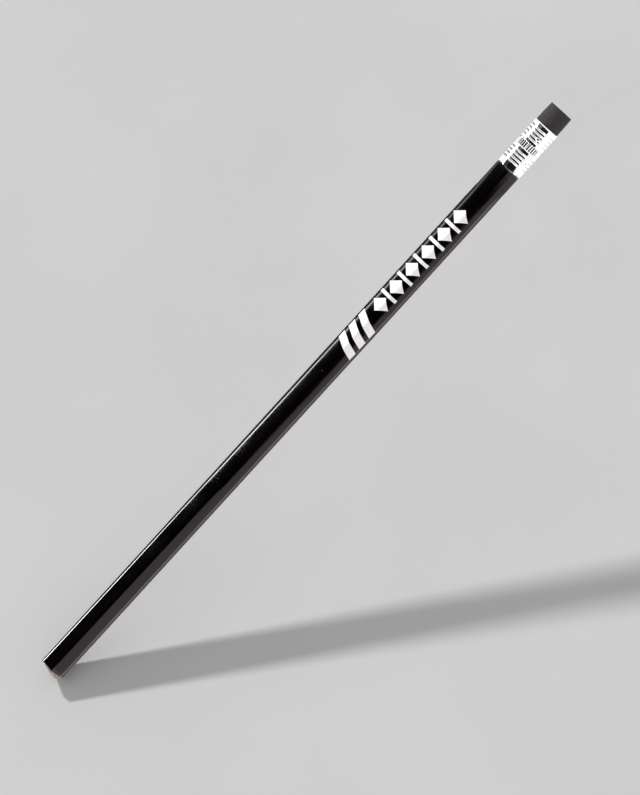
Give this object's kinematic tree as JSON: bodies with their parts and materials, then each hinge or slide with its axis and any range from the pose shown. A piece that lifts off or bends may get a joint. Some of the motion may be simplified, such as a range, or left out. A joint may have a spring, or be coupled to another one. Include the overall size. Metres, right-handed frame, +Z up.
{
  "type": "graphite pencil",
  "caption": "Unsharpened black hexagonal graphite pencil with a rolled aluminium ferrule, a black eraser and a white geometric print.",
  "frame": {"origin": "under the middle of the pencil's length, on the surface it lies on", "axes": "+X along the pencil towards the eraser, +Z up from the flat it lies on, +Y across"},
  "size_m": [0.19, 0.0076, 0.0069],
  "materials": {
    "bare_wood": "sawn and sanded bare softwood",
    "graphite": "cut end of a fired graphite and clay lead",
    "wood_glue": "cured glue line",
    "black_lacquer": "several coats of gloss lacquer",
    "white_ink": "hot-stamped white pigment foil",
    "ferrule_aluminium": "bright rolled strip",
    "eraser_rubber": "matte ground rubber"
  },
  "bodies": {
    "root": {"upper_slat": "bare_wood", "lower_slat": "bare_wood", "graphite_core": "graphite", "glue_film": "wood_glue", "lacquer_coat": "black_lacquer", "imprint": "white_ink", "ferrule": "ferrule_aluminium", "eraser": "eraser_rubber"}
  },
  "joints": []
}
